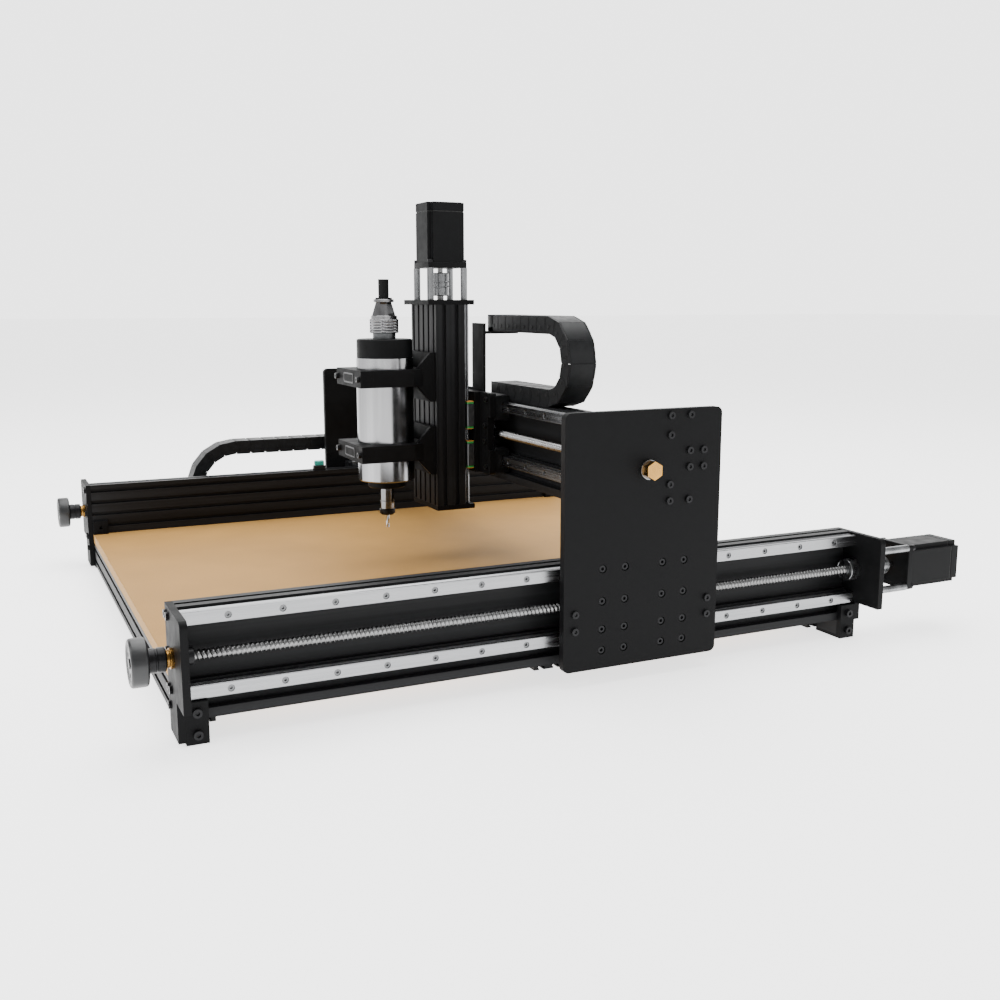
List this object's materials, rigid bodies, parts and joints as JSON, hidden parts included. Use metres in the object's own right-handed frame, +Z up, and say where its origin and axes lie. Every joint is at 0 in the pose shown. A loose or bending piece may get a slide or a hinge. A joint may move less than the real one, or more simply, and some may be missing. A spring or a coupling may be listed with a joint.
{
  "type": "cnc router",
  "caption": "Bench-top CNC router with a moving gantry on two channel beams, ball screws, a Z column with a round spindle in two clamps, a spoilboard and cable chains.",
  "frame": {"origin": "on the floor, under the middle of the whole machine, its motors and handwheels included", "axes": "+X across the machine to its right side, +Y from the handwheels at the front to the motors at the back, +Z up"},
  "size_m": [1.14, 1.117, 0.5995],
  "materials": {
    "black_anodised": "black anodised, satin",
    "black_painted": "black powder coat, fine texture",
    "rail_steel": "ground hardened steel",
    "block_steel": "ground steel with plastic end caps",
    "screw_steel": "rolled ball screw",
    "alu_plain": "machined",
    "handwheel_grey": "dark grey, satin",
    "brass": "turned",
    "bolt_black": "black oxide",
    "motor_black": "black enamel",
    "board": "medium-density fibreboard, sealed",
    "chain_plastic": "moulded nylon",
    "teal_plastic": "teal moulded cap",
    "spindle_steel": "polished stainless steel, with a black cap",
    "bolt_steel": "zinc-plated socket screws",
    "collet_steel": "blackened steel",
    "tool_steel": "ground carbide",
    "connector_metal": "nickel-plated"
  },
  "bodies": {
    "base": {"y_beams": "black_anodised", "y_rails": "rail_steel", "y_rail_bolts": "bolt_steel", "end_plates": "black_painted", "frame_bolts": "bolt_black", "bearers": "black_anodised", "spoilboard": "board", "corner_brackets": "black_painted", "screw_bearings": "brass", "y_motors": "motor_black", "y_standoffs": "alu_plain", "y_chain_tray": "black_painted", "y_chain_lower": "chain_plastic", "home_switch": "teal_plastic"},
    "right_y_screw": {"right_y_screw": "screw_steel", "right_handwheel": "handwheel_grey"},
    "left_y_screw": {"left_y_screw": "screw_steel", "left_handwheel": "handwheel_grey"},
    "gantry": {"right_gantry_plate": "black_painted", "left_gantry_plate": "black_painted", "x_beam": "black_anodised", "rear_stiffener": "black_anodised", "x_rails": "rail_steel", "x_rail_bolts": "bolt_steel", "y_blocks": "block_steel", "y_nut_brackets": "alu_plain", "gantry_bolts": "bolt_black", "x_bearings": "alu_plain", "x_motor": "motor_black", "x_standoffs": "alu_plain", "x_chain_lower": "chain_plastic"},
    "x_screw": {"x_screw": "screw_steel", "x_end_nut": "brass"},
    "carriage": {"carriage_plate": "black_painted", "z_back_plate": "black_painted", "x_blocks": "block_steel", "x_nut_bracket": "alu_plain", "z_blocks": "block_steel", "z_nut_bracket": "alu_plain", "chain_bracket": "black_painted", "carriage_bolts": "bolt_black"},
    "head": {"z_column": "black_anodised", "z_rails": "rail_steel", "z_end_plates": "black_painted", "z_motor": "motor_black", "z_standoffs": "alu_plain", "clamp_bodies": "black_painted", "clamp_caps": "black_painted", "clamp_bolts": "bolt_black", "spindle_body": "spindle_steel", "spindle_connector": "connector_metal"},
    "z_screw": {"z_screw": "screw_steel"},
    "spindle_rotor": {"collet_nut": "collet_steel", "end_mill": "tool_steel"},
    "x_chain_loop": {"x_chain_loop": "chain_plastic", "x_chain_upper": "chain_plastic"},
    "x_chain_end": {"x_chain_end": "chain_plastic"},
    "y_chain_loop": {"y_chain_loop": "chain_plastic", "y_chain_upper": "chain_plastic"},
    "y_chain_end": {"y_chain_end": "chain_plastic"}
  },
  "joints": [
    {"name": "y_slide", "type": "slide", "parent": "base", "child": "gantry", "axis": [0, 1, 0], "range_m": [-0.425, 0.24]},
    {"name": "x_slide", "type": "slide", "parent": "gantry", "child": "carriage", "axis": [1, 0, 0], "range_m": [-0.35, 0.35]},
    {"name": "z_slide", "type": "slide", "parent": "carriage", "child": "head", "axis": [0, 0, 1], "range_m": [-0.054, 0.05]},
    {"name": "spindle_spin", "type": "hinge", "parent": "head", "child": "spindle_rotor", "pos_m": [0.0665, -0.1175, 0.15], "axis": [0, 0, 1], "continuous": true},
    {"name": "right_screw_turn", "type": "hinge", "parent": "base", "child": "right_y_screw", "pos_m": [0.52, -0.5065, 0.0945], "axis": [0, 1, 0], "continuous": true},
    {"name": "left_screw_turn", "type": "hinge", "parent": "base", "child": "left_y_screw", "pos_m": [-0.387, -0.5065, 0.0945], "axis": [0, 1, 0], "continuous": true},
    {"name": "x_screw_turn", "type": "hinge", "parent": "gantry", "child": "x_screw", "pos_m": [0.0665, 0.0415, 0.258], "axis": [1, 0, 0], "continuous": true},
    {"name": "z_screw_turn", "type": "hinge", "parent": "head", "child": "z_screw", "pos_m": [0.0665, -0.0265, 0.3], "axis": [0, 0, 1], "continuous": true},
    {"name": "x_chain_roll", "type": "slide", "parent": "gantry", "child": "x_chain_loop", "axis": [1, 0, 0], "range_m": [-0.175, 0.175], "deforming": ["x_chain_lower"]},
    {"name": "x_chain_reach", "type": "slide", "parent": "x_chain_loop", "child": "x_chain_end", "axis": [1, 0, 0], "range_m": [-0.175, 0.175], "deforming": ["x_chain_upper"]},
    {"name": "y_chain_roll", "type": "slide", "parent": "base", "child": "y_chain_loop", "axis": [0, 1, 0], "range_m": [-0.2125, 0.12], "deforming": ["y_chain_lower"]},
    {"name": "y_chain_reach", "type": "slide", "parent": "y_chain_loop", "child": "y_chain_end", "axis": [0, 1, 0], "range_m": [-0.2125, 0.12], "deforming": ["y_chain_upper"]}
  ],
  "couplings": [
    {"joint": "right_screw_turn", "follows": "y_slide", "rad_per_m": -628.32},
    {"joint": "left_screw_turn", "follows": "y_slide", "rad_per_m": -628.32},
    {"joint": "x_screw_turn", "follows": "x_slide", "rad_per_m": -628.32},
    {"joint": "z_screw_turn", "follows": "z_slide", "rad_per_m": 628.32},
    {"joint": "x_chain_roll", "follows": "x_slide", "ratio": 0.5},
    {"joint": "x_chain_reach", "follows": "x_slide", "ratio": 0.5},
    {"joint": "y_chain_roll", "follows": "y_slide", "ratio": 0.5},
    {"joint": "y_chain_reach", "follows": "y_slide", "ratio": 0.5}
  ]
}
